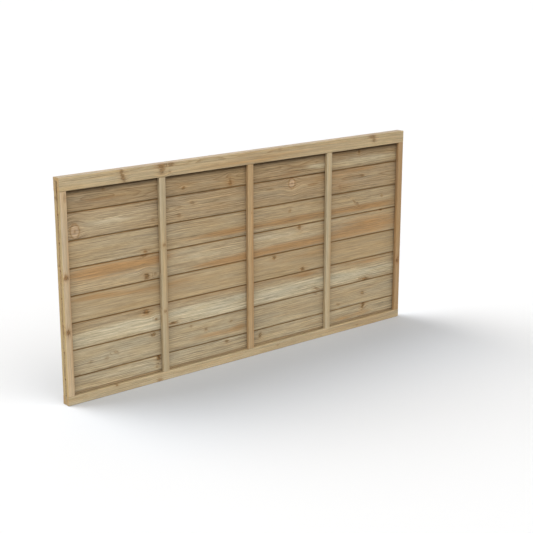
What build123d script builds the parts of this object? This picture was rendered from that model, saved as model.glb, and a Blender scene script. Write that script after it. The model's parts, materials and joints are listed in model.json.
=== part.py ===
"""Lap fence panel: leaning slats that lap over each other between a front and a rear frame."""
import os
from math import asin, cos, sin, tan

from build123d import *

# Driving dimensions in millimetres. X runs along the panel, the front faces -Y, and Z is up.
panel_length = 1830.0

# Planed frame timber, the same in front and behind
frame_thickness = 15.0
stile_width = 30.0
batten_width = 30.0
batten_count = 3
bottom_rail_height = 37.0
top_rail_height = 38.0
cap_thickness = 16.0
frame_arris = 2.0

# Sawn slats: what shows of each one, and how far it covers the next one down
full_slats = 7
course_height = 109.0
lowest_course = 65.5
lap = 12.0
slat_thickness = 5.0
slat_arris = 0.8
slat_end_setback = 1.0

# Room above the top slat, below the lowest one, and around each slat
head_gap = 1.5
drip_gap = 8.0
fit_clearance = 0.2

# Tongue of the filler strip, measured up from the lower edge of the lowest slat
tongue_lap = 15.0

# The slats lie parallel and touch where they lap, so the course height sets how far they lean.
lean = asin((slat_thickness + fit_clearance) / course_height)
slat_width = (course_height + lap) / cos(lean)
slat_length = panel_length - 2 * slat_end_setback
slat_space = slat_width * sin(lean) + slat_thickness * cos(lean) + 2 * fit_clearance
panel_depth = 2 * frame_thickness + slat_space

# Heights follow from the courses, from the ground up.
lowest_edge = bottom_rail_height + drip_gap
top_slat_edge = lowest_edge + lowest_course + (full_slats - 1) * course_height
cap_bottom = top_slat_edge + course_height + lap + head_gap
top_rail_bottom = cap_bottom - top_rail_height
upright_length = top_rail_bottom - bottom_rail_height

# The uprights share the length in equal clear bays.
bay_width = (panel_length - 2 * stile_width - batten_count * batten_width) / (batten_count + 1)
stile_centre = (panel_length - stile_width) / 2
batten_step = bay_width + batten_width

front_face = -panel_depth / 2
front_inner_face = -slat_space / 2
rear_inner_face = slat_space / 2
left_end = Plane.YZ.offset(-panel_length / 2)

os.makedirs("parts", exist_ok=True)
front_frame = {}

# Bottom rail: lies along the ground, with both outer edges eased.
with BuildPart() as bottom_rail:
    with BuildSketch(left_end) as rail_section:
        with Locations((front_face, 0)):
            Rectangle(frame_thickness, bottom_rail_height, align=(Align.MIN, Align.MIN))
        fillet(rail_section.vertices().group_by(Axis.X)[0], frame_arris)
    extrude(amount=panel_length)
front_frame["bottom_rail"] = bottom_rail.part

# Top rail: its lower outer edge is eased, and its upper edge stays sharp where the cap sits on it.
with BuildPart() as top_rail:
    with BuildSketch(left_end) as rail_section:
        with Locations((front_face, top_rail_bottom)):
            Rectangle(frame_thickness, top_rail_height, align=(Align.MIN, Align.MIN))
        fillet(rail_section.vertices().group_by(Axis.X)[0].sort_by(Axis.Y)[0], frame_arris)
    extrude(amount=panel_length)
front_frame["top_rail"] = top_rail.part

# Stiles: the end uprights, which butt between the two rails.
for name, centre in (("left_stile", -stile_centre), ("right_stile", stile_centre)):
    with BuildPart() as stile:
        with BuildSketch(Plane.XY.offset(bottom_rail_height)) as stile_section:
            with Locations((centre, front_face)):
                Rectangle(stile_width, frame_thickness, align=(Align.CENTER, Align.MIN))
            fillet(stile_section.vertices(), frame_arris)
        extrude(amount=upright_length)
    front_frame[name] = stile.part

# Battens: the inner uprights, with all four long edges eased.
for number in range(1, batten_count + 1):
    centre = (number - (batten_count + 1) / 2) * batten_step
    with BuildPart() as batten:
        with BuildSketch(Plane.XY.offset(bottom_rail_height)) as batten_section:
            with Locations((centre, front_face)):
                Rectangle(batten_width, frame_thickness, align=(Align.CENTER, Align.MIN))
            fillet(batten_section.vertices(), frame_arris)
        extrude(amount=upright_length)
    front_frame[f"batten_{number}"] = batten.part

# The rear frame is the front one turned to face the other way.
for name, piece in front_frame.items():
    piece.label = f"front_{name}"
    export_step(piece, f"parts/front_{name}.step")
    with BuildPart() as rear_piece:
        mirror(piece, about=Plane.XZ)
    rear_piece.part.label = f"rear_{name}"
    export_step(rear_piece.part, f"parts/rear_{name}.step")

# Top cap: a flat strip over both top rails and the slats between them, flush with both faces.
with BuildPart() as top_cap:
    with BuildSketch(left_end) as cap_section:
        with Locations((0, cap_bottom)):
            Rectangle(panel_depth, cap_thickness, align=(Align.CENTER, Align.MIN))
        fillet(cap_section.vertices().group_by(Axis.Y)[-1], frame_arris)
    extrude(amount=panel_length)
top_cap.part.label = "top_cap"
export_step(top_cap.part, "parts/top_cap.step")


def slat_plane(lower_edge):
    """Plane of a slat's end: local X goes through its thickness and local Y up its leaning face."""
    return Plane(
        origin=(-slat_length / 2, front_inner_face + fit_clearance, lower_edge),
        x_dir=(0, cos(lean), -sin(lean)),
        z_dir=(1, 0, 0),
    )


# Full slats, numbered from the top: lower edge against the front frame, upper edge against the rear one.
for number in range(1, full_slats + 1):
    with BuildPart() as slat:
        with BuildSketch(slat_plane(top_slat_edge - (number - 1) * course_height)) as slat_section:
            Rectangle(slat_thickness, slat_width, align=(Align.MIN, Align.MIN))
            fillet(slat_section.vertices(), slat_arris)
        extrude(amount=slat_length)
    slat.part.label = f"slat_{number}"
    export_step(slat.part, f"parts/slat_{number}.step")

# Lowest slat: lies in the same row, but its lower part is ripped off to clear the bottom rail.
whole_edge = top_slat_edge - full_slats * course_height
ripped_off = (lowest_edge - whole_edge) / cos(lean)
with BuildPart() as lowest_slat:
    with BuildSketch(slat_plane(whole_edge)) as slat_section:
        with Locations((0, ripped_off)):
            Rectangle(slat_thickness, slat_width - ripped_off, align=(Align.MIN, Align.MIN))
        fillet(slat_section.vertices(), slat_arris)
    extrude(amount=slat_length)
lowest_slat.part.label = f"slat_{full_slats + 1}"
export_step(lowest_slat.part, f"parts/slat_{full_slats + 1}.step")


def tongue_face(height):
    """Y of the tongue's front face, which lies along the back of the lowest slat."""
    slat_back = front_inner_face + fit_clearance + slat_thickness / cos(lean)
    return slat_back + (height - whole_edge) * tan(lean) + fit_clearance


# Bottom filler: a rebated strip between the bottom rails, whose tongue stands behind the lowest slat.
tongue_top = lowest_edge + tongue_lap
with BuildPart() as bottom_filler:
    with BuildSketch(Plane.YZ.offset(-slat_length / 2)):
        with BuildLine():
            Polyline(
                (front_inner_face, 0),
                (rear_inner_face, 0),
                (rear_inner_face, tongue_top),
                (tongue_face(tongue_top), tongue_top),
                (tongue_face(bottom_rail_height), bottom_rail_height),
                (front_inner_face, bottom_rail_height),
                close=True,
            )
        make_face()
    extrude(amount=slat_length)
bottom_filler.part.label = "bottom_filler"
export_step(bottom_filler.part, "parts/bottom_filler.step")
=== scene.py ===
import json
import random
from math import atan2, cos, radians, tan

import bpy
import numpy as np
from mathutils import Matrix, Vector

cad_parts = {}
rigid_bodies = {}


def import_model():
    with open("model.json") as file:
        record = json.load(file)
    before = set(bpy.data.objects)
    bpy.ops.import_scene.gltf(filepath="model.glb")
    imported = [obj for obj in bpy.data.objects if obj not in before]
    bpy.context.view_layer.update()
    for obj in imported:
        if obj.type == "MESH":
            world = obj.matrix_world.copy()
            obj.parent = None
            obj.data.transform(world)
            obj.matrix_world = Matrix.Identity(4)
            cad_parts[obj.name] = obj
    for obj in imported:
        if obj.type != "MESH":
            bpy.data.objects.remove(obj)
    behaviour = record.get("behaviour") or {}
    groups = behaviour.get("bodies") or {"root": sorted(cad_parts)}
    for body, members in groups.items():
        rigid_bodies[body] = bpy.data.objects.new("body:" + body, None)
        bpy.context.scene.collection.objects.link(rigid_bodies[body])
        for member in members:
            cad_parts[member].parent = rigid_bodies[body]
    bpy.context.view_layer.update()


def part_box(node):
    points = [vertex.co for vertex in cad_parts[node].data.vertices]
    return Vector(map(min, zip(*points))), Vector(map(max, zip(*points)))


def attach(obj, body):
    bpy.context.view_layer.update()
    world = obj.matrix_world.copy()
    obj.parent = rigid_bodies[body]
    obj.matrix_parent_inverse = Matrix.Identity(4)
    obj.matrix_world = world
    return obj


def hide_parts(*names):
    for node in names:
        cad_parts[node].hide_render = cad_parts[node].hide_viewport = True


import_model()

# Rails: two planed softwood rails along the top and two along the bottom, one pair each side of the slats.
# Each is one length planed on all four sides, with its outer edges eased except where the cap sits on it.
# The other pieces are sawn, grown and finished by the functions that stand here.
MM = 0.001
RIGHT = Vector((1, 0, 0))
UP = Vector((0, 0, 1))
FORWARD = Vector((0, -1, 0))
BACKWARD = Vector((0, 1, 0))


def add(tree, kind, feeds=(), **options):
    """Adds a node to a tree, sets its options, and feeds its inputs with values or other nodes' outputs."""
    made = tree.nodes.new(kind)
    for option, choice in options.items():
        setattr(made, option, choice)
    for socket, feed in dict(feeds).items():
        if isinstance(feed, bpy.types.NodeSocket):
            tree.links.new(feed, made.inputs[socket])
        else:
            made.inputs[socket].default_value = feed
    return made


def sums(tree, operation, *feeds):
    """One sum on numbers."""
    return add(tree, "ShaderNodeMath", enumerate(feeds), operation=operation).outputs[0]


def vectors(tree, operation, *feeds):
    """One sum on vectors."""
    return add(tree, "ShaderNodeVectorMath", enumerate(feeds), operation=operation).outputs[0]


def parts(tree, vector):
    """The three numbers of a vector."""
    return add(tree, "ShaderNodeSeparateXYZ", {0: vector}).outputs[:]


def whole(tree, *numbers):
    """A vector from three numbers."""
    return add(tree, "ShaderNodeCombineXYZ", enumerate(numbers)).outputs[0]


BOARD_INPUTS = {
    "Length": "Float", "Width": "Float", "Thickness": "Float",
    "Rows Along": "Int", "Rows Across": "Int", "Rows Through": "Int",
    "Arris": "Float", "End Arris": "Float", "Sharp Arris": "Float",
    "Ease Upper Front": "Bool", "Ease Lower Front": "Bool",
    "Ease Upper Rear": "Bool", "Ease Lower Rear": "Bool",
    "Edge Wander": "Float", "Face Wander": "Float", "Seed": "Float",
    "Place": "Vector", "Turn": "Vector", "Material": "Material",
}


def board_tree():
    """The tree that saws one board: a fine block with eased edges and slightly uneven faces, put in place.
    In the board's own frame X runs along it, Y across its face and Z out of its face."""
    corner_pull = 0.293
    beside_share = 0.5
    wander_waves = 9.0
    wander_detail = 3.0
    wander_range = 4.0
    ripple_waves = 22.0
    ripple_detail = 2.0
    tree = bpy.data.node_groups.new("timber_board", "GeometryNodeTree")
    for name, kind in BOARD_INPUTS.items():
        tree.interface.new_socket(name, in_out="INPUT", socket_type="NodeSocket" + kind)
    tree.interface.new_socket("Board", in_out="OUTPUT", socket_type="NodeSocketGeometry")
    size = add(tree, "NodeGroupInput").outputs
    block = add(tree, "GeometryNodeMeshCube", {
        "Size": whole(tree, size["Length"], size["Width"], size["Thickness"]),
        "Vertices X": size["Rows Along"],
        "Vertices Y": size["Rows Across"],
        "Vertices Z": size["Rows Through"],
    }).outputs["Mesh"]
    here = parts(tree, add(tree, "GeometryNodeInputPosition").outputs[0])

    # The outermost row of each direction is kept for the arris and the next one lies close beside it,
    # so that the flat of the face stays flat. The others share the rest evenly.
    rows, sides, outer = [], [], []
    measures = (("Length", "Rows Along", "End Arris"), ("Width", "Rows Across", "Arris"),
                ("Thickness", "Rows Through", "Arris"))
    for value, (span, count, arris) in zip(here, measures):
        half = sums(tree, "DIVIDE", size[span], 2.0)
        step = sums(tree, "DIVIDE", size[span], sums(tree, "SUBTRACT", size[count], 1.0))
        far = sums(tree, "ABSOLUTE", value)
        edge = sums(tree, "GREATER_THAN", far, sums(tree, "MULTIPLY_ADD", step, -0.5, half))
        beside = sums(tree, "GREATER_THAN", far, sums(tree, "MULTIPLY_ADD", step, -1.5, half))
        inner = sums(tree, "MULTIPLY_ADD", step, -2.0, half)
        share = sums(tree, "DIVIDE", sums(tree, "MINIMUM", far, inner), inner)
        clear = sums(tree, "MULTIPLY_ADD", size[arris], -1.0 - beside_share, half)
        flat = sums(tree, "MULTIPLY", share, clear)
        kept = sums(tree, "MULTIPLY_ADD", beside, beside_share, edge)
        sides.append(sums(tree, "SIGN", value))
        rows.append(sums(tree, "MULTIPLY_ADD", kept, size[arris], flat))
        outer.append(edge)

    # Each long edge is eased or left as sharp as the saw left it.
    upper = sums(tree, "GREATER_THAN", here[1], 0.0)
    front = sums(tree, "GREATER_THAN", here[2], 0.0)
    eased = []
    for height in ("Upper", "Lower"):
        rear = sums(tree, "MULTIPLY", sums(tree, "SUBTRACT", 1.0, front), size[f"Ease {height} Rear"])
        eased.append(sums(tree, "MULTIPLY_ADD", front, size[f"Ease {height} Front"], rear))
    below = sums(tree, "MULTIPLY", sums(tree, "SUBTRACT", 1.0, upper), eased[1])
    ease = sums(tree, "MULTIPLY_ADD", upper, eased[0], below)
    arris = sums(tree, "MAXIMUM", sums(tree, "MULTIPLY", ease, size["Arris"]), size["Sharp Arris"])
    end = sums(tree, "MULTIPLY", outer[0], size["End Arris"])
    pulls = (
        sums(tree, "MULTIPLY", end, sums(tree, "MAXIMUM", outer[1], outer[2])),
        sums(tree, "MULTIPLY", outer[1], sums(tree, "MULTIPLY_ADD", outer[2], arris, end)),
        sums(tree, "MULTIPLY", outer[2], sums(tree, "MULTIPLY_ADD", outer[1], arris, end)),
    )
    rows = [sums(tree, "MULTIPLY_ADD", pull, -corner_pull, row) for pull, row in zip(pulls, rows)]

    # The two long edges wander apart from each other, and each face dips inwards a little.
    wander = add(tree, "ShaderNodeTexNoise", {
        "Vector": whole(tree, here[0], sides[1], 0.0), "W": size["Seed"],
        "Scale": wander_waves, "Detail": wander_detail,
    }, noise_dimensions="4D").outputs[0]
    swing = sums(tree, "MULTIPLY_ADD", wander, wander_range, -wander_range / 2)
    swing = sums(tree, "MULTIPLY", swing, size["Edge Wander"])
    reach = sums(tree, "DIVIDE", rows[1], size["Width"])
    rows[1] = sums(tree, "MULTIPLY_ADD", reach, swing, rows[1])
    ripple = add(tree, "ShaderNodeTexNoise", {
        "Vector": whole(tree, here[0], here[1], sides[2]), "W": size["Seed"],
        "Scale": ripple_waves, "Detail": ripple_detail,
    }, noise_dimensions="4D").outputs[0]
    dip = sums(tree, "MULTIPLY", sums(tree, "MULTIPLY", ripple, size["Face Wander"]), outer[2])
    rows[2] = sums(tree, "SUBTRACT", rows[2], dip)
    shape = whole(tree, *[sums(tree, "MULTIPLY", side, row) for side, row in zip(sides, rows)])

    # The wood is marked in millimetres before the rows move, because a field is read from where they are.
    timber = vectors(tree, "MULTIPLY", shape, (1 / MM, 1 / MM, 1 / MM))
    board = block
    for name, kind, value in (("timber", "FLOAT_VECTOR", timber), ("end_grain", "FLOAT", outer[0])):
        board = add(tree, "GeometryNodeStoreNamedAttribute", {
            "Geometry": board, "Name": name, "Value": value,
        }, data_type=kind, domain="POINT").outputs[0]
    board = add(tree, "GeometryNodeSetPosition", {"Geometry": board, "Position": shape}).outputs[0]
    board = add(tree, "GeometryNodeTransform", {
        "Geometry": board, "Translation": size["Place"], "Rotation": size["Turn"],
    }).outputs[0]
    board = add(tree, "GeometryNodeSetShadeSmooth", {"Geometry": board}).outputs[0]
    board = add(tree, "GeometryNodeRealizeInstances", {"Geometry": board}).outputs[0]
    board = add(tree, "GeometryNodeSetMaterial", {"Geometry": board, "Material": size["Material"]}).outputs[0]
    add(tree, "NodeGroupOutput", {"Board": board})
    return tree


timber_board = board_tree()


def run_tree(name, tree, values, start=None):
    """Runs a tree with the values of its inputs, and returns the plain mesh object that it makes."""
    piece = bpy.data.objects.new(name, start or bpy.data.meshes.new(name))
    bpy.context.scene.collection.objects.link(piece)
    modifier = piece.modifiers.new(tree.name, "NODES")
    modifier.node_group = tree
    for socket in tree.interface.items_tree:
        if socket.in_out == "INPUT" and socket.name in values:
            modifier[socket.identifier] = values[socket.name]
    depsgraph = bpy.context.evaluated_depsgraph_get()
    mesh = bpy.data.meshes.new_from_object(
        piece.evaluated_get(depsgraph), preserve_all_data_layers=True, depsgraph=depsgraph)
    piece.modifiers.clear()
    piece.data = mesh
    mesh.name = name
    return piece


OFF_BOARD = 1000.0
BOARDS_APART = 2311.0
KNOT_NEAR = 2.5
KNOT_FAR = 4.5
GOLD_DEPTH = 1.2
GOLD_SLOPE = 2.0


def unshaded(along, across):
    """How much painted shade a board without any has: none anywhere."""
    return 0 * along


def grow(piece, seed, knots=(), patches=(), pith=(20.0, 40.0, 3.6), tone=(1.0, 0.0, 0.0), figure=1.0,
         lap_line=OFF_BOARD, warm_edge=OFF_BOARD, painted_shade=unshaded):
    """Gives a board its own wood. All lengths are in millimetres from the board's middle.
    Knots are (along, across, half length, half height, darkness, lean in degrees), and a darkness below
    zero makes an open knot with a pale heart. Patches are (along, across, reach along, reach across, warmth).
    The pith is where the tree's heart lay: how far across, how deep, and how wide a year's ring is.
    The tone is how light, how warm and how pink the board is, the figure is how strongly its grain shows,
    and the lap line is how far across its face the board above it ends. A warm edge is the narrow side, given
    by how far across it lies, that was sawn from yellower wood. The painted shade is a rule for how much
    shade is painted on each spot."""
    mesh = piece.data
    count = len(mesh.vertices)
    board = np.empty(count * 3, np.float32)
    mesh.attributes["timber"].data.foreach_get("vector", board)
    board = board.reshape(count, 3)
    offset = np.zeros((count, 3), np.float32)
    reach = np.ones((count, 3), np.float32)
    reach[:, 2] = 0
    nearest = np.full(count, np.inf)
    for along, across, half_length, half_height, darkness, lean in knots:
        away = (board[:, :2] - (along, across)) @ np.array(Matrix.Rotation(radians(lean), 2))
        distance = np.hypot(away[:, 0] / half_length, away[:, 1] / half_height)
        closer = distance < nearest
        nearest[closer] = distance[closer]
        offset[closer, :2] = away[closer]
        reach[closer, :2] = (half_length, half_height)
        reach[closer, 2] = darkness * np.clip((KNOT_FAR - distance[closer]) / (KNOT_FAR - KNOT_NEAR), 0, 1)
    stain = np.zeros(count, np.float32)
    for along, across, reach_along, reach_across, warmth in patches:
        stain += warmth * np.exp(-((board[:, 0] - along) / reach_along) ** 2
                                 - ((board[:, 1] - across) / reach_across) ** 2)
    shade_amount = painted_shade(board[:, 0], board[:, 1])
    gold = np.clip(GOLD_SLOPE * (GOLD_DEPTH - np.abs(board[:, 1] - warm_edge)), 0, 1)
    board[:, 0] += BOARDS_APART * seed
    mesh.attributes["timber"].data.foreach_set("vector", board.ravel())
    for name, kind, field, values in (
        ("knot", "FLOAT_VECTOR", "vector", offset),
        ("knot_reach", "FLOAT_VECTOR", "vector", reach),
        ("stain", "FLOAT", "value", stain),
        ("pith", "FLOAT_VECTOR", "vector", np.tile(np.float32(pith), (count, 1))),
        ("tone", "FLOAT_VECTOR", "vector", np.tile(np.float32(tone), (count, 1))),
        ("figure", "FLOAT", "value", np.full(count, figure)),
        ("lap_line", "FLOAT", "value", np.full(count, lap_line)),
        ("warm_edge", "FLOAT", "value", gold),
        ("painted_shade", "FLOAT", "value", shade_amount),
    ):
        mesh.attributes.new(name, kind, "POINT").data.foreach_set(field, values.astype(np.float32).ravel())


def timber_finish(name, early, late, roughness, ring_strength, saw_marks, end_tint, fineness):
    """Treated softwood read from a board's own wood: year rings round its pith, fibre streaks, heartwood,
    sapwood and knots that the rings swell round. The colours are early wood and late wood, and the
    fineness is how closely the grain lies."""
    finish = bpy.data.materials.new(name)
    finish.use_nodes = True
    tree = finish.node_tree
    shader = tree.nodes["Principled BSDF"]

    # Each mark in the wood has its waves for each millimetre along and across the grain, its detail,
    # and a shift of its own, so that no two marks fall together.
    marks = {
        "ring drift": (0.0030, 0.004, 1.0, 0.0),
        "pith drift": (0.0024, 0.005, 1.0, 31.0),
        "ring wobble": (0.006, 0.05, 1.0, 57.0),
        "vein": (0.009, 0.19, 3.0, 17.0),
        "fibre": (0.010, 1.1, 3.0, 11.0),
        "streak": (0.0045, 0.36, 2.0, 23.0),
        "fleck": (0.026, 0.42, 2.0, 67.0),
        "cloud": (0.002, 0.011, 1.0, 41.0),
        "knot lobes": (0.06, 0.11, 2.0, 71.0),
        "knot blots": (0.10, 0.13, 2.0, 29.0),
        "tan drift": (0.004, 0.02, 2.0, 93.0),
        "saw strokes": (0.42, 0.012, 2.0, 87.0),
    }

    def read(attribute, output="Vector"):
        return add(tree, "ShaderNodeAttribute", attribute_name=attribute).outputs[output]

    def noise(where, mark):
        along_waves, across_waves, detail, shift = marks[mark]
        waves = (along_waves, across_waves, across_waves)
        spot = vectors(tree, "MULTIPLY_ADD", where, waves, (shift, shift, shift))
        return add(tree, "ShaderNodeTexNoise", {"Vector": spot, "Scale": 1.0, "Detail": detail}).outputs[0]

    def plus(one, other):
        return sums(tree, "ADD", one, other)

    def times(one, other):
        return sums(tree, "MULTIPLY", one, other)

    def line(value, slope, start):
        return sums(tree, "MULTIPLY_ADD", value, slope, start)

    def reach(one, other):
        return sums(tree, "SQRT", plus(sums(tree, "POWER", one, 2.0), sums(tree, "POWER", other, 2.0)))

    def spread(value, width):
        return line(value, 2.0 * width, -width)

    def mix(share, under, over, blend="MIX"):
        made = add(tree, "ShaderNodeMix", {0: share, 6: under, 7: over}, data_type="RGBA", blend_type=blend)
        return made.outputs[2]

    def bell(value, width):
        square = sums(tree, "POWER", sums(tree, "DIVIDE", value, width), 2.0)
        return sums(tree, "EXPONENT", times(square, -1.0))

    def rise(value, low, high):
        made = add(tree, "ShaderNodeMapRange", {0: value, 1: low, 2: high, 3: 0.0, 4: 1.0},
                   interpolation_type="SMOOTHSTEP")
        return made.outputs[0]

    along, across, through = parts(tree, read("timber"))
    timber = vectors(tree, "MULTIPLY", read("timber"), (1.0, fineness, fineness))
    knot_along, knot_across = parts(tree, read("knot"))[:2]
    knot_length, knot_height, knot_kind = parts(tree, read("knot_reach"))
    knot_depth = sums(tree, "ABSOLUTE", knot_kind)
    knot_open = sums(tree, "LESS_THAN", knot_kind, 0.0)
    pith_across, pith_depth, ring_width = parts(tree, read("pith"))
    lightness, warmth, blush = parts(tree, read("tone"))
    figure = read("figure", "Fac")

    # The fibres bend round each knot, so the rings are read from nearer to the knot than they lie.
    swell_lengths = 3.2
    swell_heights = 2.6
    swell_reach = 0.8
    swell_share = 0.8
    swell_along = sums(tree, "DIVIDE", knot_along, times(knot_length, swell_lengths))
    swell_across = sums(tree, "DIVIDE", knot_across, times(knot_height, swell_heights))
    bend = times(bell(reach(swell_along, swell_across), swell_reach), times(knot_depth, swell_share))
    straight = times(sums(tree, "SUBTRACT", across, times(knot_across, bend)), fineness)
    grain = whole(tree, along, straight, times(through, fineness))

    # Year rings: how far the spot lies from the pith, which wanders along the board. Each year starts pale,
    # darkens towards its end, and has a vigour of its own.
    ring_drift = 26.0
    pith_drift = 42.0
    ring_wobble = 1.6
    year_turn = (0.10, 0.10, 0.10, 1)
    season_shades = ((0.40, 0.12), (0.72, 0.55), (0.88, 1.0), (0.95, 0.8))
    vigour_range = 0.75
    least_vigour = 0.3
    ring_across = sums(tree, "SUBTRACT", straight, pith_across)
    ring_across = plus(ring_across, spread(noise(timber, "ring drift"), ring_drift))
    ring_depth = plus(through, pith_depth)
    ring_depth = plus(ring_depth, spread(noise(timber, "pith drift"), pith_drift))
    radius = plus(reach(ring_across, ring_depth), spread(noise(timber, "ring wobble"), ring_wobble))
    years = sums(tree, "DIVIDE", radius, ring_width)
    ramp = add(tree, "ShaderNodeValToRGB", {0: sums(tree, "FRACT", years)})
    stops = ramp.color_ramp.elements
    stops[0].color = year_turn
    stops[1].color = year_turn
    for place, dark in season_shades:
        stop = stops.new(place)
        stop.color = (dark, dark, dark, 1)
    vigour = add(tree, "ShaderNodeTexWhiteNoise", {"W": sums(tree, "FLOOR", years)}, noise_dimensions="1D")
    late_wood = times(ramp.outputs[0], line(vigour.outputs[0], vigour_range, least_vigour))
    colour = mix(times(late_wood, times(figure, ring_strength)), early, late)

    # Veins of late wood, fibre streaks from fine to broad, short flecks, and a slow change of shade.
    vein_share = 0.40
    vein_from = 0.50
    vein_full = 0.70
    fibre_shade = 0.16
    streak_shade = 0.74
    fleck_shade = 0.42
    cloud_shade = 0.14
    vein = noise(grain, "vein")
    fibre = noise(grain, "fibre")
    streak = noise(grain, "streak")
    fleck = noise(grain, "fleck")
    cloud = noise(timber, "cloud")
    colour = mix(times(rise(vein, vein_from, vein_full), times(figure, vein_share)), colour, late)
    long_shade = plus(spread(fibre, fibre_shade), spread(streak, streak_shade))
    short_shade = plus(spread(fleck, fleck_shade), spread(cloud, cloud_shade))
    shade = times(line(plus(long_shade, short_shade), figure, 1.0), lightness)

    # Heartwood and sapwood come and go along the grain.
    heartwood = (0.395, 0.23, 0.098, 1)
    sapwood = (0.595, 0.515, 0.35, 1)
    heart_share = 0.95
    sap_share = 0.9
    felt_from = 0.05
    felt_full = 1.2
    streak_fray = 0.7
    fleck_fray = 0.5
    vein_fray = 0.6
    frayed = plus(spread(streak, streak_fray), plus(spread(fleck, fleck_fray), spread(vein, vein_fray)))
    felt = times(read("stain", "Fac"), plus(frayed, 1.0))
    colour = mix(times(rise(felt, felt_from, felt_full), heart_share), colour, heartwood)
    colour = mix(times(rise(felt, -felt_from, -felt_full), sap_share), colour, sapwood)

    # Knots: an orange-brown core with dark blots, ragged at its edge, and a warm glow in the wood round it.
    # An open knot has a pale heart with a dark rim and a small dark eye.
    knot_wood = (0.31, 0.165, 0.056, 1)
    knot_dark = (0.125, 0.068, 0.027, 1)
    knot_glow = (0.43, 0.26, 0.11, 1)
    open_heart = (0.56, 0.41, 0.26, 1)
    lobe_depth = 0.95
    open_calm = -0.7
    glow_share = 0.55
    open_glow = -0.35
    glow_reach = 1.9
    blot_from = 0.40
    blot_full = 0.62
    core_from = 0.45
    core_end = 1.2
    rim_width = 0.15
    rim_share = 0.20
    open_rim = 0.45
    eye_width = 0.22
    eye_share = 0.6
    core_along = sums(tree, "DIVIDE", knot_along, knot_length)
    core_across = sums(tree, "DIVIDE", knot_across, knot_height)
    core_far = reach(core_along, core_across)
    lobes = times(spread(noise(timber, "knot lobes"), lobe_depth), line(knot_open, open_calm, 1.0))
    core_far = times(core_far, plus(lobes, 1.0))
    glow = times(bell(core_far, glow_reach), times(knot_depth, line(knot_open, open_glow, glow_share)))
    colour = mix(glow, colour, knot_glow)
    blot = rise(noise(timber, "knot blots"), blot_from, blot_full)
    core = mix(knot_open, mix(blot, knot_wood, knot_dark), open_heart)
    inside = times(sums(tree, "SUBTRACT", 1.0, rise(core_far, core_from, core_end)), knot_depth)
    colour = mix(inside, colour, core)
    rim = times(bell(sums(tree, "SUBTRACT", core_far, 1.0), rim_width), knot_depth)
    rim = times(rim, line(knot_open, open_rim, rim_share))
    eye = times(bell(core_far, eye_width), times(knot_open, eye_share))
    colour = mix(plus(rim, eye), colour, mix(knot_open, knot_dark, knot_wood))

    # The board's own tone, which drifts between tan and olive. Warmth and blush move red, green and blue.
    tone_drift = 0.6
    warm_red = 0.16
    warm_blue = -0.26
    blush_red = 0.06
    blush_green = -0.05
    blush_blue = 0.04
    shaded = vectors(tree, "SCALE", colour)
    tree.links.new(shade, shaded.node.inputs["Scale"])
    drift = plus(warmth, spread(noise(grain, "tan drift"), tone_drift))
    red = line(blush, blush_red, line(drift, warm_red, 1.0))
    green = line(blush, blush_green, 1.0)
    blue = line(blush, blush_blue, line(drift, warm_blue, 1.0))
    colour = vectors(tree, "MULTIPLY", shaded, whole(tree, red, green, blue))

    # Painted shade: the wood is darkened beside the uprights, under the top rail, on the uprights' narrow
    # sides and on the filler in the drip gap, a line of painted shade lies on the face just under each lap,
    # and what faces up is painted darker. The open grain of the ends has its own tint, which on the slats is
    # also painted light.
    shade_tint = (0.35, 0.28, 0.20, 1)
    # The tint of the painted shade on what faces up, and the slopes where it starts and is full.
    top_shade_tint = (0.68, 0.65, 0.60, 1)
    top_shade_from = 0.4
    top_shade_full = 0.95
    edge_gold = (1.03, 0.99, 0.78, 1)
    # The tint of the painted shadow line just under each lap, and how far below the lap and how wide it lies.
    lap_shade_tint = (0.58, 0.43, 0.26, 1)
    lap_shade_below = 4.4
    lap_shade_width = 2.9
    end_share = 0.8
    colour = mix(read("painted_shade", "Fac"), colour, shade_tint, "MULTIPLY")
    upward = parts(tree, add(tree, "ShaderNodeTexCoord").outputs["Normal"])[2]
    colour = mix(rise(upward, top_shade_from, top_shade_full), colour, top_shade_tint, "MULTIPLY")
    colour = mix(read("warm_edge", "Fac"), colour, edge_gold, "MULTIPLY")
    below_lap = sums(tree, "SUBTRACT", read("lap_line", "Fac"), across)
    lap_shade_mask = bell(sums(tree, "SUBTRACT", below_lap, lap_shade_below), lap_shade_width)
    on_face = sums(tree, "GREATER_THAN", through, 0.0)
    colour = mix(times(lap_shade_mask, on_face), colour, lap_shade_tint, "MULTIPLY")
    colour = mix(times(read("end_grain", "Fac"), end_share), colour, end_tint, "MULTIPLY")
    tree.links.new(colour, shader.inputs["Base Color"])

    # Relief: fibre, the harder late wood standing up, and on sawn faces the marks of the saw.
    fibre_relief = 0.6
    ring_relief = 0.35
    relief_strength = 0.55
    relief_depth = 0.35 * MM
    sheen_range = 0.22
    gloss = 0.28
    height = plus(times(fibre, fibre_relief), times(late_wood, ring_relief))
    if saw_marks:
        height = plus(height, times(noise(timber, "saw strokes"), saw_marks))
    bump = add(tree, "ShaderNodeBump", {
        "Strength": relief_strength, "Distance": relief_depth, "Height": height,
    })
    tree.links.new(bump.outputs[0], shader.inputs["Normal"])
    tree.links.new(line(fibre, sheen_range, roughness - sheen_range / 2), shader.inputs["Roughness"])
    shader.inputs["Specular IOR Level"].default_value = gloss
    return finish


planed_timber = timber_finish(
    "planed_timber", early=(0.56, 0.44, 0.265, 1), late=(0.37, 0.25, 0.12, 1), roughness=0.66,
    ring_strength=0.85, saw_marks=0.0, end_tint=(1.10, 0.95, 0.76, 1), fineness=2.5)

GRID = 5.5 * MM
LEAST_ROWS = 6
PLANED_ARRIS = 2.0 * MM
END_ARRIS = 0.5 * MM
SHARP_ARRIS = 0.3 * MM
PLANED_DIP = 0.2 * MM
ALL_EDGES = ("Upper Front", "Lower Front", "Upper Rear", "Lower Rear")


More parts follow.
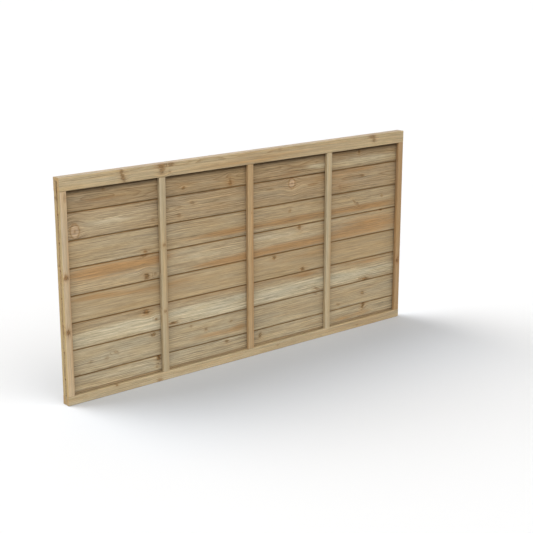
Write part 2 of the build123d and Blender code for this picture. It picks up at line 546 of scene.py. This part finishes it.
def saw(node, along, outward, finish, seed, eased=ALL_EDGES, arris=PLANED_ARRIS, size=None, turn=None,
        edge_wander=0.0, face_wander=PLANED_DIP, inset=0.0):
    """Saws the board that stands for a node, its length and its face turned as given, and fixes it there.
    Size and turn are given only for a board that leans, and the inset is what is planed off its face."""
    low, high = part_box(node)
    across = outward.cross(along)
    span = high - low
    length, width, thickness = size or (abs(span.dot(along)), abs(span.dot(across)), abs(span.dot(outward)))
    values = {
        "Length": length,
        "Width": width,
        "Thickness": thickness - inset,
        "Rows Along": round(length / GRID) + 1,
        "Rows Across": max(LEAST_ROWS, round(width / GRID) + 1),
        "Rows Through": LEAST_ROWS,
        "Arris": arris,
        "End Arris": END_ARRIS,
        "Sharp Arris": SHARP_ARRIS,
        "Edge Wander": edge_wander,
        "Face Wander": face_wander,
        "Seed": float(seed),
        "Place": (low + high) / 2 - outward * inset / 2,
        "Turn": turn or Matrix((along, across, outward)).transposed().to_euler(),
        "Material": finish,
    }
    values.update({f"Ease {edge}": edge in eased for edge in ALL_EDGES})
    board = run_tree(f"{node}_board", timber_board, values)
    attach(board, "root")
    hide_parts(node)
    return board


def on_board(node, marks, along, across):
    """Turns marks given in millimetres from the panel's middle and from the ground into the board's frame."""
    low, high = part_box(node)
    middle = (low + high) / 2 / MM
    placed = []
    for x, z, *rest in marks:
        away = Vector((x, 0, z)) - middle
        placed.append((away.dot(along), away.dot(across), *rest))
    return placed


def chance_knots(seed, face, count):
    """A few knots wherever the tree had them, for the boards that are seen only from behind."""
    length, width = face
    draw = random.Random(seed)
    knots = []
    for _ in range(count):
        along = draw.uniform(-0.47, 0.47) * length
        across = draw.uniform(-0.4, 0.4) * width
        half_length = draw.uniform(4, 10)
        half_height = draw.uniform(4, 8)
        darkness = draw.uniform(0.4, 0.8)
        lean = draw.uniform(-30, 30)
        knots.append((along, across, half_length, half_height, darkness, lean))
    return knots


RAIL_KNOTS = {
    "front_top_rail": [(-634, 872, 10, 20, 0.75, 20), (-450, 880, 15, 17, 0.7, 0), (-412, 867, 5, 4, 0.5, 0),
                       (724, 880, 11, 11, 0.6, 15)],
    "front_bottom_rail": [(-692, 34, 5, 4, 0.8, 0), (-485, 8, 15, 9, 0.55, 0), (150, 20, 8, 5, 0.25, 0),
                          (640, 12, 9, 5, 0.3, 0)],
}
RAIL_TONES = {"top": (0.97, 0.12, 0.0), "bottom": (1.01, 0.0, 0.0)}
RAIL_WARMTH = {"top": (40, 0, 300, 40, 0.45), "bottom": (760, 0, 280, 40, 0.45)}
RAIL_EDGES = {"top": ("Lower Front",), "bottom": ("Upper Front", "Lower Front")}
RAIL_PATCHES = [(420, 4, 300, 10, 0.35), (-250, -6, 380, 7, 0.3), (-700, 6, 160, 9, -0.4)]
RAIL_FACE = (1830, 37)
REAR_RAIL_KNOTS = 6
seed = 0
for side, outward in (("front", FORWARD), ("rear", BACKWARD)):
    for height in ("top", "bottom"):
        seed += 1
        name = f"{side}_{height}_rail"
        along = UP.cross(outward)
        rail = saw(name, along, outward, planed_timber, seed, RAIL_EDGES[height])
        if name in RAIL_KNOTS:
            knots = on_board(name, RAIL_KNOTS[name], along, UP)
        else:
            knots = chance_knots(seed, RAIL_FACE, REAR_RAIL_KNOTS)
        pith = (70.0 + 7 * seed, 34.0, 5.2)
        grow(rail, seed, knots, RAIL_PATCHES + [RAIL_WARMTH[height]], pith, RAIL_TONES[height])

# Uprights: two stiles and three battens on each side, planed to the same thickness as the rails.
# They butt between the rails, and all four long edges are eased.
UPRIGHT_KNOTS = {
    "front_left_stile": [(-901, 517, 12, 12, 0.9, 0), (-903, 300, 12, 10, 0.85, 0),
                         (-892, 826, 20, 7, 0.4, 0)],
    "front_batten_1": [(-449, 573, 7, 8, 0.6, 0), (-449, 295, 7, 7, 0.55, 0)],
    "front_batten_2": [(4, 640, 5, 4, 0.3, 0)],
    "front_batten_3": [(455, 470, 5, 4, 0.2, 0)],
    "front_right_stile": [(897, 283, 11, 9, 0.8, 0), (903, 302, 8, 6, 0.6, 0)],
}
UPRIGHT_TONES = {
    "left_stile": (1.04, -0.05, 0.35), "batten_1": (0.955, 0.0, 0.0), "batten_2": (0.815, 0.70, 0.45),
    "batten_3": (1.035, -0.10, 0.0), "right_stile": (0.69, 0.95, 0.7),
}
UPRIGHT_FACE = (812, 30)
REAR_UPRIGHT_KNOTS = 3
UPRIGHT_FIGURE = 0.75
UPRIGHT_HALF = 15.0
SIDE_SHADE = 0.3
WARM_SIDE = {"left_stile": -15, "batten_1": -10, "batten_2": -10, "batten_3": -12, "right_stile": -6}
REAR_INSET = 0.5 * MM


def side_shade(along, across):
    """How much painted shade an upright has: none on its face, and some on its narrow sides."""
    return SIDE_SHADE * np.clip(np.abs(across) - UPRIGHT_HALF + 1, 0, 1)


for side, outward in (("front", FORWARD), ("rear", BACKWARD)):
    for upright, tone in UPRIGHT_TONES.items():
        seed += 1
        name = f"{side}_{upright}"
        inset = REAR_INSET if side == "rear" else 0.0
        post = saw(name, UP, outward, planed_timber, seed, inset=inset)
        if name in UPRIGHT_KNOTS:
            knots = on_board(name, UPRIGHT_KNOTS[name], UP, outward.cross(UP))
        else:
            knots = chance_knots(seed, UPRIGHT_FACE, REAR_UPRIGHT_KNOTS)
        leftward = 1 if side == "front" else -1
        warm_side = WARM_SIDE[upright] * leftward
        patches = [(-80, warm_side, 420, 6, 0.8), (0, -warm_side, 600, 7, -0.4), (260, -6, 130, 7, 0.3)]
        pith = (-70.0 - 3 * seed, 30.0, 5.0)
        if upright == "left_stile":
            grow(post, seed, knots, patches, pith, tone, UPRIGHT_FIGURE, warm_edge=UPRIGHT_HALF * leftward)
        else:
            grow(post, seed, knots, patches, pith, tone, UPRIGHT_FIGURE, painted_shade=side_shade)

# Slats: eight thin boards, sawn and left rough, that lean in the frame so that each laps over the next.
# They are trapped between the front and the rear frame, and the lowest one is ripped narrower.
SLAT_THICKNESS = 5.0 * MM
SLAT_ARRIS = 0.8 * MM
SAWN_WANDER = 0.25 * MM
# The slats' end tint is lighter than their wood: painted light that lifts their ends, which sit in shade in
# the groove at the panel's end.
sawn_slats = timber_finish(
    "sawn_slats", early=(0.474, 0.366, 0.217, 1), late=(0.283, 0.175, 0.083, 1), roughness=0.80,
    ring_strength=0.62, saw_marks=0.5, end_tint=(1.35, 1.20, 1.0, 1), fineness=1.45)
# The broadest patches, 50 mm or more across, make a slat paler to the left and darker to the right: painted
# light, standing in for light that falls off towards the panel's right end.
SLATS = {
    "slat_1": {
        "tone": (0.77, 0.36, 0.1), "figure": 1.1, "pith": (-30.0, 34.0, 6.5),
        "knots": [(-712, 832, 8, 5, 0.5, 0), (-337, 790, 8, 7, 0.7, 0), (-98, 782, 9, 17, 0.6, 0),
                  (648, 829, 6, 10, 0.8, 0)],
        "patches": [(-730, 797, 170, 9, 0.7), (255, 786, 70, 14, 0.6), (-98, 785, 30, 20, 0.4),
                    (390, 795, 70, 10, -1.2), (700, 790, 270, 20, -1.1), (640, 832, 300, 12, 0.4),
                    (120, 775, 190, 10, 0.4)],
    },
    "slat_2": {
        "tone": (0.87, 0.18, 0.1), "figure": 1.15, "pith": (-4.0, 26.0, 7.0),
        "knots": [(-846, 686, 20, 28, -0.9, 0), (-490, 680, 10, 8, 0.3, 0), (-360, 680, 11, 9, 0.45, 0),
                  (-292, 722, 15, 8, 0.4, -20), (246, 735, 18, 21, -0.95, 0), (673, 719, 11, 7, 0.5, 0),
                  (530, 685, 12, 8, 0.25, 0)],
        "patches": [(540, 690, 70, 30, 0.3), (120, 745, 160, 20, 0.3), (640, 750, 110, 7, 0.7),
                    (-720, 700, 190, 34, -0.5), (430, 740, 120, 20, 0.3),
                    (-480, 710, 380, 60, -0.3), (560, 715, 400, 60, 0.3)],
    },
    "slat_3": {
        "tone": (0.935, 0.11, 0.0), "figure": 1.05, "pith": (110.0, 36.0, 6.0),
        "knots": [(-530, 557, 11, 8, 0.7, 0), (235, 615, 10, 7, 0.4, 30), (624, 600, 4, 15, 0.45, 35),
                  (647, 588, 4, 15, 0.45, 35), (800, 608, 8, 7, 0.45, 0)],
        "patches": [(-150, 572, 210, 13, 1.1), (300, 574, 330, 17, 1.1), (730, 570, 200, 16, 1.1),
                    (-100, 553, 600, 5, -0.5), (-700, 590, 190, 14, 0.25),
                    (-640, 600, 380, 60, -0.4)],
    },
    "slat_4": {
        "tone": (1.035, -0.03, 0.0), "figure": 1.0, "pith": (-120.0, 40.0, 6.0),
        "knots": [(-530, 539, 18, 7, 0.65, 10), (-525, 455, 13, 14, 0.9, 0), (-485, 456, 8, 6, 0.45, 0),
                  (290, 533, 10, 12, 0.8, 0), (797, 543, 8, 6, 0.7, 0)],
        "patches": [(-690, 512, 250, 26, 1.5), (-470, 515, 70, 20, 0.6), (-110, 450, 200, 14, 1.3),
                    (250, 457, 280, 19, 1.35), (710, 480, 240, 46, 1.2), (150, 514, 260, 18, -0.5),
                    (-260, 495, 170, 20, -0.5)],
    },
    "slat_5": {
        "tone": (0.955, 0.21, 0.0), "figure": 0.72, "pith": (130.0, 60.0, 5.4),
        "knots": [(145, 417, 11, 10, 0.75, 0), (308, 340, 12, 9, 0.75, 0)],
        "patches": [(-770, 414, 130, 12, 1.0), (-580, 399, 160, 11, 0.8), (-380, 395, 140, 34, 0.5),
                    (-135, 395, 60, 28, -0.3), (350, 402, 220, 22, 0.5), (-620, 360, 180, 24, 0.3),
                    (-760, 360, 260, 50, -0.35), (740, 380, 300, 60, 0.25)],
    },
    "slat_6": {
        "tone": (0.93, 0.07, 0.0), "figure": 1.1, "pith": (110.0, 20.0, 6.4),
        "knots": [(-530, 303, 15, 12, 0.95, 0), (-485, 265, 6, 5, 0.7, 0), (-400, 232, 20, 7, 0.85, 8),
                  (700, 224, 21, 8, 0.85, 0), (664, 231, 10, 5, 0.4, 0), (395, 232, 15, 6, 0.5, -20)],
        "patches": [(-500, 254, 760, 32, -1.5), (450, 257, 680, 31, -1.1), (330, 306, 70, 12, 0.9),
                    (720, 304, 100, 12, 0.7), (0, 313, 900, 12, 0.5)],
    },
    "slat_7": {
        "tone": (1.045, -0.20, -0.1), "figure": 1.0, "pith": (-90.0, 24.0, 6.0),
        "knots": [(-497, 200, 11, 8, 0.75, 0), (-308, 198, 7, 5, 0.4, -20), (-232, 168, 9, 8, 0.45, 0),
                  (-97, 178, 9, 6, 0.45, 0), (395, 206, 14, 6, 0.35, -20), (687, 158, 12, 8, 0.6, 0),
                  (530, 131, 11, 5, 0.45, -15), (-680, 168, 15, 6, 0.4, -20), (-724, 152, 10, 9, 0.3, 0),
                  (-800, 152, 15, 6, 0.35, 15)],
        "patches": [(-190, 138, 190, 14, 0.9), (-50, 147, 40, 18, 0.7), (250, 160, 160, 20, 0.2),
                    (-600, 170, 420, 60, -0.35), (620, 170, 460, 60, 0.35)],
    },
    "slat_8": {
        "tone": (1.055, -0.23, -0.1), "figure": 1.2, "pith": (-100.0, 30.0, 5.6),
        "knots": [(-475, 98, 12, 14, 0.95, 0), (-485, 60, 6, 5, 0.5, 0), (-122, 92, 10, 8, 0.7, 0),
                  (64, 80, 9, 15, 0.65, -30), (694, 95, 9, 18, 0.9, -15)],
        "patches": [(560, 56, 60, 10, 0.7), (680, 62, 60, 10, 0.6), (40, 80, 40, 20, 0.2),
                    (-500, 80, 420, 60, -0.4), (620, 80, 460, 60, 0.2)],
    },
}
# Painted shade on the slats: its strength and its reach in millimetres on the right and the left of each
# upright, and under the top rail.
LEE_SHADE = (0.50, 22.0)
OPEN_SHADE = (0.16, 40.0)
HEAD_SHADE = (0.75, 15.0)


def corner_shade(along, across):
    """How much painted shade a slat has beside each upright: most on the upright's right."""
    shade_amount = 0 * along
    for upright in UPRIGHT_TONES:
        low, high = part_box(f"front_{upright}")
        beside = ((along - high.x / MM, LEE_SHADE), (low.x / MM - along, OPEN_SHADE))
        for past, (strength, reach) in beside:
            shade_amount = np.maximum(shade_amount, strength * np.exp(-np.abs(past) / reach) * (past > -UPRIGHT_HALF))
    return shade_amount


def head_shade(along, across):
    """How much painted shade the top slat has: beside the uprights, and a painted shadow under the top rail.
    """
    low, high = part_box("slat_1")
    under = (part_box("front_top_rail")[0].z - (low.z + high.z) / 2) / MM - across
    strength, reach = HEAD_SHADE
    return np.maximum(corner_shade(along, across), strength * np.exp(-np.abs(under) / reach))


above = None
for name, wood in SLATS.items():
    seed += 1
    low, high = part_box(name)
    span = high - low
    lean = atan2(span.y - SLAT_THICKNESS, span.z)
    width = (span.z - SLAT_THICKNESS * abs(span.y) / span.z) / cos(lean)
    turn = (radians(90) - lean, 0, 0)
    slat = saw(name, RIGHT, FORWARD, sawn_slats, seed, arris=SLAT_ARRIS,
               size=(span.x, width, SLAT_THICKNESS), turn=turn,
               edge_wander=SAWN_WANDER, face_wander=SAWN_WANDER)
    lap_line = OFF_BOARD if above is None else (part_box(above)[0].z - (low.z + high.z) / 2) / MM
    above = name
    grow(slat, seed, on_board(name, wood["knots"], RIGHT, UP), on_board(name, wood["patches"], RIGHT, UP),
         wood["pith"], wood["tone"], wood["figure"], lap_line,
         painted_shade=head_shade if name == "slat_1" else corner_shade)

# Filler: a rebated strip between the two bottom rails, whose tongue stands behind the lowest slat.
# It is planed softwood like the frame, and in front only its ledge shows, through the drip gap, painted darker
# there as shade.
FILLER_CLEARANCE = 0.2 * MM
STATION_STEP = 15.0 * MM
LEDGE_SHADE = 0.45
FILLER_TONE = (0.95, 0.1, 0.0)
low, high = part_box("bottom_filler")
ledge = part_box("front_bottom_rail")[1].z
lowest_low, lowest_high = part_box("slat_8")
filler_lean = atan2(lowest_high.y - lowest_low.y - SLAT_THICKNESS, lowest_high.z - lowest_low.z)
tongue_start = lowest_low.y + SLAT_THICKNESS / cos(filler_lean) + FILLER_CLEARANCE
tongue = [tongue_start + (z - lowest_low.z) * tan(filler_lean) for z in (high.z, ledge)]
section = [(low.y, low.z), (high.y, low.z), (high.y, high.z),
           (tongue[0], high.z), (tongue[1], ledge), (low.y, ledge)]
stations = np.linspace(low.x, high.x, round((high.x - low.x) / STATION_STEP) + 1)
corners = [(x, y, z) for x in stations for y, z in section]
sides = len(section)
faces = [tuple(range(sides - 1, -1, -1)), tuple(range(len(corners) - sides, len(corners)))]
for first in range(0, len(corners) - sides, sides):
    for k in range(sides):
        after = (k + 1) % sides
        faces.append((first + k, first + after, first + sides + after, first + sides + k))
filler_mesh = bpy.data.meshes.new("bottom_filler_strip")
filler_mesh.from_pydata(corners, [], faces)
filler_mesh.materials.append(planed_timber)
places = np.array([(x, z, -y) for x, y, z in corners], np.float32) / MM
filler_mesh.attributes.new("timber", "FLOAT_VECTOR", "POINT").data.foreach_set("vector", places.ravel())


def ledge_shade(along, across):
    """How much painted shade the filler has where it shows in the drip gap: all along, but not on its two sawn
    ends.
    """
    return LEDGE_SHADE * (np.abs(along) < np.abs(along).max() - 1)


filler = bpy.data.objects.new("bottom_filler_strip", filler_mesh)
bpy.context.scene.collection.objects.link(filler)
seed += 1
grow(filler, seed, tone=FILLER_TONE, painted_shade=ledge_shade)
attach(filler, "root")
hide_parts("bottom_filler")

# Cap: one flat planed strip over both top rails, flush with the frame in front and behind.
# It sheds the rain, and its two upper edges are eased.
CAP_KNOTS = [(-640, 8, 16, 0.65), (-452, 22, 16, 0.7), (-408, 15, 14, 0.6), (160, 10, 16, 0.2),
             (714, 19, 16, 0.6)]
CAP_PATCHES = [(40, 160, 20, 0.4), (420, 200, 18, 0.3)]
CAP_PITH = (-80.0, 30.0, 5.0)
CAP_TONE = (0.96, 0.16, 0.0)
seed += 1
cap = saw("top_cap", RIGHT, UP, planed_timber, seed, ("Upper Front", "Lower Front"))
low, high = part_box("top_cap")
cap_front = (low.y - high.y) / 2 / MM
knots = [(x, cap_front, *shape, 0) for x, *shape in CAP_KNOTS]
patches = [(x, cap_front, *shape) for x, *shape in CAP_PATCHES]
grow(cap, seed, knots, patches, CAP_PITH, CAP_TONE)

# Nails: plain wire nails driven from behind, one where each rear upright crosses a slat.
# Their heads are bright steel gone dull, set almost flush with the timber.
HEAD_RADIUS = 1.7 * MM
HEAD_RISE = 0.35 * MM
HEAD_SEGMENTS = 14
HEAD_RINGS = 8
NAIL_HEIGHT = 0.55
NAIL_STRAY_UP = 6
NAIL_STRAY_SIDE = 5
BRIGHT_STEEL = (0.42, 0.41, 0.40, 1)
DULL_STEEL = (0.16, 0.13, 0.10, 1)
SPECKLE_WAVES = 900.0
SPECKLE_DETAIL = 3.0
STEEL_ROUGHNESS = 0.3
SPECKLE_ROUGHNESS = 0.4
STEEL_METALLIC = 0.85
nail_steel = bpy.data.materials.new("nail_steel")
nail_steel.use_nodes = True
steel = nail_steel.node_tree
steel_shader = steel.nodes["Principled BSDF"]
steel_spot = add(steel, "ShaderNodeTexCoord").outputs["Object"]
speckle = add(steel, "ShaderNodeTexNoise", {
    "Vector": steel_spot, "Scale": SPECKLE_WAVES, "Detail": SPECKLE_DETAIL,
}).outputs[0]
steel_tint = add(steel, "ShaderNodeMix", {0: speckle, 6: BRIGHT_STEEL, 7: DULL_STEEL}, data_type="RGBA")
steel_sheen = sums(steel, "MULTIPLY_ADD", speckle, SPECKLE_ROUGHNESS, STEEL_ROUGHNESS)
steel.links.new(steel_tint.outputs[2], steel_shader.inputs["Base Color"])
steel.links.new(steel_sheen, steel_shader.inputs["Roughness"])
steel_shader.inputs["Metallic"].default_value = STEEL_METALLIC


def nail_tree():
    """The tree that sets a low domed head, facing backwards, on every point it is given."""
    tree = bpy.data.node_groups.new("nail_heads", "GeometryNodeTree")
    inputs = (("Points", "Geometry"), ("Radius", "Float"), ("Rise", "Float"), ("Material", "Material"))
    for name, kind in inputs:
        tree.interface.new_socket(name, in_out="INPUT", socket_type="NodeSocket" + kind)
    tree.interface.new_socket("Nails", in_out="OUTPUT", socket_type="NodeSocketGeometry")
    size = add(tree, "NodeGroupInput").outputs
    dome = add(tree, "GeometryNodeMeshUVSphere", {
        "Segments": HEAD_SEGMENTS, "Rings": HEAD_RINGS, "Radius": 1.0,
    }).outputs[0]
    head = add(tree, "GeometryNodeTransform", {
        "Geometry": dome, "Rotation": (radians(90), 0, 0),
        "Scale": whole(tree, size["Radius"], size["Radius"], size["Rise"]),
    }).outputs[0]
    nails = add(tree, "GeometryNodeInstanceOnPoints", {"Points": size["Points"], "Instance": head}).outputs[0]
    nails = add(tree, "GeometryNodeRealizeInstances", {"Geometry": nails}).outputs[0]
    nails = add(tree, "GeometryNodeSetShadeSmooth", {"Geometry": nails}).outputs[0]
    nails = add(tree, "GeometryNodeSetMaterial", {"Geometry": nails, "Material": size["Material"]}).outputs[0]
    add(tree, "NodeGroupOutput", {"Nails": nails})
    return tree


nail_heads = nail_tree()
draw = random.Random(7)
for upright in UPRIGHT_TONES:
    low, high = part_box(f"rear_{upright}")
    spots = []
    for name in SLATS:
        slat_low, slat_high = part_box(name)
        height = slat_low.z + NAIL_HEIGHT * (slat_high.z - slat_low.z)
        height += draw.uniform(-NAIL_STRAY_UP, NAIL_STRAY_UP) * MM
        if low.z < height < high.z:
            x = (low.x + high.x) / 2 + draw.uniform(-NAIL_STRAY_SIDE, NAIL_STRAY_SIDE) * MM
            spots.append((x, high.y - HEAD_RISE, height))
    points = bpy.data.meshes.new("nail_spots")
    points.from_pydata(spots, [], [])
    nails = run_tree(f"rear_{upright}_nails", nail_heads,
                     {"Radius": HEAD_RADIUS, "Rise": HEAD_RISE, "Material": nail_steel}, points)
    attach(nails, "root")

# Studio: a white floor under a soft white sky, with the panel and the floor lit apart. Near the panel the
# floor is painted a little cooler, a painted tint that cancels the warm light the wood reflects onto it. Five
# broad keys stand in a half ring before the panel, with a soft box and a low fill towards its left end and one
# light behind it. The floor has lights of its own, and the one behind on the left throws the panel's shadow.
FLOOR_REACH = 60.0
FLOOR_WHITE = (0.86, 0.86, 0.86, 1)
FLOOR_COOL = (0.82, 0.86, 0.91, 1)
FLOOR_ROUGHNESS = 0.9
COOL_MIDDLE = -0.15
COOL_REACH = 0.55
COOL_STEEPNESS = 6.0
SKY = 0.20
BELOW = 0.06

# Each light has its height and turn in degrees, its strength, its breadth in degrees, and what it falls on.
LIGHTS = {
    "panel_fill": (14, -122, 0.95, 50, "panel"),
    "panel_back": (20, 150, 2.3, 50, "panel"),
    "floor_front": (54, 10, 1.3, 50, "floor"),
    "floor_back": (48, -144, 2.2, 50, "floor"),
    "floor_right": (40, 150, 0.30, 50, "floor"),
    "floor_low": (18, -160, 0.65, 50, "floor"),
}
KEY_BREADTH = 38
KEYS = ((-72, 18, 0.80), (-36, 36, 0.83), (0, 38, 0.52), (36, 36, 0.78), (72, 18, 0.77))
for turn, height, strength in KEYS:
    LIGHTS[f"panel_key_{turn}"] = (height, turn, strength, KEY_BREADTH, "panel")
floor_mesh = bpy.data.meshes.new("floor")
floor_mesh.from_pydata([(-FLOOR_REACH, -FLOOR_REACH, 0), (FLOOR_REACH, -FLOOR_REACH, 0),
                        (FLOOR_REACH, FLOOR_REACH, 0), (-FLOOR_REACH, FLOOR_REACH, 0)], [], [(0, 1, 2, 3)])
floor = bpy.data.objects.new("floor", floor_mesh)
floor_paint = bpy.data.materials.new("floor_paint")
floor_paint.use_nodes = True
floor_tree = floor_paint.node_tree
floor_shader = floor_tree.nodes["Principled BSDF"]
floor_spot = parts(floor_tree, add(floor_tree, "ShaderNodeTexCoord").outputs["Object"])
# The cool tint is painted on the floor round the panel, to cancel the warm light reflected from the wood.
away = sums(floor_tree, "DIVIDE", sums(floor_tree, "SUBTRACT", floor_spot[1], COOL_MIDDLE), COOL_REACH)
beyond = sums(floor_tree, "POWER", floor_spot[0], COOL_STEEPNESS)
outside = sums(floor_tree, "MULTIPLY_ADD", away, away, beyond)
cool = sums(floor_tree, "EXPONENT", sums(floor_tree, "MULTIPLY", outside, -1.0))
floor_tint = add(floor_tree, "ShaderNodeMix", {0: cool, 6: FLOOR_WHITE, 7: FLOOR_COOL}, data_type="RGBA")
floor_tree.links.new(floor_tint.outputs[2], floor_shader.inputs["Base Color"])
floor_shader.inputs["Roughness"].default_value = FLOOR_ROUGHNESS
floor_shader.inputs["Specular IOR Level"].default_value = 0.0
floor_mesh.materials.append(floor_paint)
floor.visible_diffuse = False

lit = {"panel": bpy.data.collections.new("panel_lit"), "floor": bpy.data.collections.new("floor_lit")}
for piece in bpy.context.scene.objects:
    if piece.type == "MESH":
        lit["panel"].objects.link(piece)
lit["floor"].objects.link(floor)
bpy.context.scene.collection.objects.link(floor)

surround = bpy.data.worlds.new("surround")
surround.use_nodes = True
sky = surround.node_tree
sky_height = parts(sky, add(sky, "ShaderNodeTexCoord").outputs["Generated"])[2]
overhead = sums(sky, "GREATER_THAN", sky_height, 0.0)
glow = sums(sky, "MULTIPLY_ADD", overhead, SKY - BELOW, BELOW)
seen = sums(sky, "MAXIMUM", glow, add(sky, "ShaderNodeLightPath").outputs["Is Camera Ray"])
sky.links.new(seen, sky.nodes["Background"].inputs["Strength"])
sky.nodes["Background"].inputs["Color"].default_value = (1, 1, 1, 1)
bpy.context.scene.world = surround

for name, (height, turn, strength, breadth, receiver) in LIGHTS.items():
    lamp = bpy.data.lights.new(name, "SUN")
    lamp.energy = strength
    lamp.angle = radians(breadth)
    light = bpy.data.objects.new(name, lamp)
    light.rotation_euler = (radians(90 - height), 0, radians(turn))
    light.light_linking.receiver_collection = lit[receiver]
    bpy.context.scene.collection.objects.link(light)

SOFTBOX_POWER = 37.0
SOFTBOX_SIZE = 1.6
SOFTBOX_TINT = (0.93, 0.98, 1.06)
SOFTBOX_PLACE = Vector((-2.2, -2.9, 2.7))
SOFTBOX_AIM = Vector((0, 0, 0.4))
softbox_lamp = bpy.data.lights.new("side_softbox", "AREA")
softbox_lamp.energy = SOFTBOX_POWER
softbox_lamp.size = SOFTBOX_SIZE
softbox_lamp.color = SOFTBOX_TINT
softbox = bpy.data.objects.new("side_softbox", softbox_lamp)
softbox.location = SOFTBOX_PLACE
softbox.rotation_euler = (SOFTBOX_AIM - SOFTBOX_PLACE).to_track_quat("-Z", "Y").to_euler()
softbox.light_linking.receiver_collection = lit["panel"]
bpy.context.scene.collection.objects.link(softbox)

# The camera stands to the left and looks down on the panel, with no shift.
CAMERA_PLACE = (-3.0826, -3.8225, 1.7262)
CAMERA_DOWN = 15.086
CAMERA_TURN = -39.806
CAMERA_LENS = 79.98
CAMERA_SENSOR = 36.0
lens = bpy.data.cameras.new("camera")
lens.lens = CAMERA_LENS
lens.sensor_width = CAMERA_SENSOR
camera = bpy.data.objects.new("camera", lens)
camera.location = CAMERA_PLACE
camera.rotation_euler = (radians(90 - CAMERA_DOWN), 0, radians(CAMERA_TURN))
bpy.context.scene.collection.objects.link(camera)
bpy.context.scene.camera = camera
bpy.context.scene.view_settings.view_transform = "Standard"
